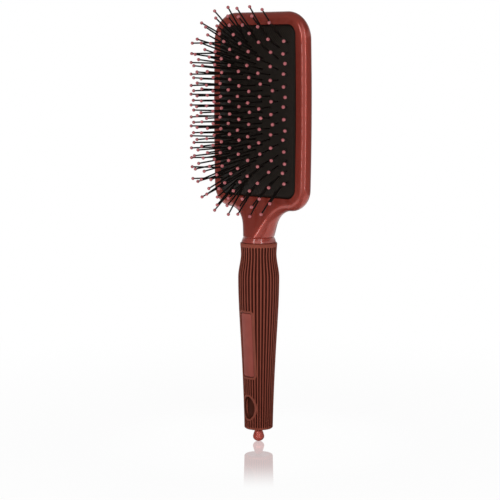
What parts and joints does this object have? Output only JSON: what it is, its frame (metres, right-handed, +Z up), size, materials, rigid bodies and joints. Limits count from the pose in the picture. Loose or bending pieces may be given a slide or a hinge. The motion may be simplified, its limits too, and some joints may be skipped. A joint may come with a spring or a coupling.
{
  "type": "paddle hair brush",
  "caption": "Paddle hair brush with a domed air cushion of ball-tipped pins, a ribbed rubber grip and a sectioning pick that slides out of the handle's foot.",
  "frame": {"origin": "on the handle's axis, half way up the rubber grip, where a hand holds it", "axes": "+Z up the handle to the head, -Y the way the pins point, X the head's width"},
  "size_m": [0.0766, 0.0438, 0.2533],
  "materials": {
    "paint": "metallic copper red gloss lacquer over moulded plastic",
    "knob_paint": "glossy copper red",
    "cushion_rubber": "black rubber with a fine diamond texture, satin",
    "foam": "closed-cell foam sheet",
    "pin_nylon": "black nylon, satin",
    "tip_nylon": "dusty rose, satin gloss",
    "grip_rubber": "brown-red ribbed rubber, satin",
    "label": "pinkish red, satin gloss, bare",
    "core_plastic": "dark moulded plastic",
    "ring_rubber": "black rubber",
    "steel": "polished steel"
  },
  "bodies": {
    "paddle": {"paddle_body": "paint", "cushion": "cushion_rubber", "collar_ring": "paint", "grip_sleeve": "grip_rubber", "handle_core": "core_plastic", "label_plate": "label", "end_plug": "core_plastic", "friction_ring": "ring_rubber", "pick_guide_tube": "steel"},
    "pad": {"pad_backing": "foam"},
    "pick": {"pick_rod": "steel", "pick_stop": "core_plastic", "pick_knob": "knob_paint"},
    "pins_01": {"pin_column_01": "pin_nylon", "pin_tips_01": "tip_nylon"},
    "pins_02": {"pin_column_02": "pin_nylon", "pin_tips_02": "tip_nylon"},
    "pins_03": {"pin_column_03": "pin_nylon", "pin_tips_03": "tip_nylon"},
    "pins_04": {"pin_column_04": "pin_nylon", "pin_tips_04": "tip_nylon"},
    "pins_05": {"pin_column_05": "pin_nylon", "pin_tips_05": "tip_nylon"},
    "pins_06": {"pin_column_06": "pin_nylon", "pin_tips_06": "tip_nylon"},
    "pins_07": {"pin_column_07": "pin_nylon", "pin_tips_07": "tip_nylon"},
    "pins_08": {"pin_column_08": "pin_nylon", "pin_tips_08": "tip_nylon"},
    "pins_09": {"pin_column_09": "pin_nylon", "pin_tips_09": "tip_nylon"},
    "pins_10": {"pin_column_10": "pin_nylon", "pin_tips_10": "tip_nylon"},
    "pins_11": {"pin_column_11": "pin_nylon", "pin_tips_11": "tip_nylon"},
    "pins_12": {"pin_column_12": "pin_nylon", "pin_tips_12": "tip_nylon"},
    "pins_13": {"pin_column_13": "pin_nylon", "pin_tips_13": "tip_nylon"}
  },
  "joints": [
    {"name": "pad_press", "type": "slide", "parent": "paddle", "child": "pad", "axis": [0, 1, 0], "range_m": [0, 0.003], "stiffness_N_per_m": 2500, "deforming": ["cushion"]},
    {"name": "pick_slide", "type": "slide", "parent": "paddle", "child": "pick", "axis": [0, 0, -1], "range_m": [0, 0.045]},
    {"name": "pins_rock_01", "type": "hinge", "parent": "pad", "child": "pins_01", "pos_m": [-0.0258, -0.0046, 0.13055], "axis": [0, 0, 1], "range_deg": [-6, 6], "stiffness_Nm_per_rad": 0.05},
    {"name": "pins_rock_02", "type": "hinge", "parent": "pad", "child": "pins_02", "pos_m": [-0.0215, -0.00681, 0.13055], "axis": [0, 0, 1], "range_deg": [-6, 6], "stiffness_Nm_per_rad": 0.05},
    {"name": "pins_rock_03", "type": "hinge", "parent": "pad", "child": "pins_03", "pos_m": [-0.0172, -0.00837, 0.13055], "axis": [0, 0, 1], "range_deg": [-6, 6], "stiffness_Nm_per_rad": 0.05},
    {"name": "pins_rock_04", "type": "hinge", "parent": "pad", "child": "pins_04", "pos_m": [-0.0129, -0.01017, 0.13055], "axis": [0, 0, 1], "range_deg": [-6, 6], "stiffness_Nm_per_rad": 0.05},
    {"name": "pins_rock_05", "type": "hinge", "parent": "pad", "child": "pins_05", "pos_m": [-0.0086, -0.01077, 0.13055], "axis": [0, 0, 1], "range_deg": [-6, 6], "stiffness_Nm_per_rad": 0.05},
    {"name": "pins_rock_06", "type": "hinge", "parent": "pad", "child": "pins_06", "pos_m": [-0.0043, -0.01186, 0.13055], "axis": [0, 0, 1], "range_deg": [-6, 6], "stiffness_Nm_per_rad": 0.05},
    {"name": "pins_rock_07", "type": "hinge", "parent": "pad", "child": "pins_07", "pos_m": [0, -0.01158, 0.13055], "axis": [0, 0, 1], "range_deg": [-6, 6], "stiffness_Nm_per_rad": 0.05},
    {"name": "pins_rock_08", "type": "hinge", "parent": "pad", "child": "pins_08", "pos_m": [0.0043, -0.01186, 0.13055], "axis": [0, 0, 1], "range_deg": [-6, 6], "stiffness_Nm_per_rad": 0.05},
    {"name": "pins_rock_09", "type": "hinge", "parent": "pad", "child": "pins_09", "pos_m": [0.0086, -0.01077, 0.13055], "axis": [0, 0, 1], "range_deg": [-6, 6], "stiffness_Nm_per_rad": 0.05},
    {"name": "pins_rock_10", "type": "hinge", "parent": "pad", "child": "pins_10", "pos_m": [0.0129, -0.01017, 0.13055], "axis": [0, 0, 1], "range_deg": [-6, 6], "stiffness_Nm_per_rad": 0.05},
    {"name": "pins_rock_11", "type": "hinge", "parent": "pad", "child": "pins_11", "pos_m": [0.0172, -0.00837, 0.13055], "axis": [0, 0, 1], "range_deg": [-6, 6], "stiffness_Nm_per_rad": 0.05},
    {"name": "pins_rock_12", "type": "hinge", "parent": "pad", "child": "pins_12", "pos_m": [0.0215, -0.00681, 0.13055], "axis": [0, 0, 1], "range_deg": [-6, 6], "stiffness_Nm_per_rad": 0.05},
    {"name": "pins_rock_13", "type": "hinge", "parent": "pad", "child": "pins_13", "pos_m": [0.0258, -0.0046, 0.13055], "axis": [0, 0, 1], "range_deg": [-6, 6], "stiffness_Nm_per_rad": 0.05}
  ],
  "couplings": [
    {"joint": "pins_rock_01", "follows": "pins_rock_07", "ratio": 1},
    {"joint": "pins_rock_02", "follows": "pins_rock_07", "ratio": 1},
    {"joint": "pins_rock_03", "follows": "pins_rock_07", "ratio": 1},
    {"joint": "pins_rock_04", "follows": "pins_rock_07", "ratio": 1},
    {"joint": "pins_rock_05", "follows": "pins_rock_07", "ratio": 1},
    {"joint": "pins_rock_06", "follows": "pins_rock_07", "ratio": 1},
    {"joint": "pins_rock_08", "follows": "pins_rock_07", "ratio": 1},
    {"joint": "pins_rock_09", "follows": "pins_rock_07", "ratio": 1},
    {"joint": "pins_rock_10", "follows": "pins_rock_07", "ratio": 1},
    {"joint": "pins_rock_11", "follows": "pins_rock_07", "ratio": 1},
    {"joint": "pins_rock_12", "follows": "pins_rock_07", "ratio": 1},
    {"joint": "pins_rock_13", "follows": "pins_rock_07", "ratio": 1}
  ]
}
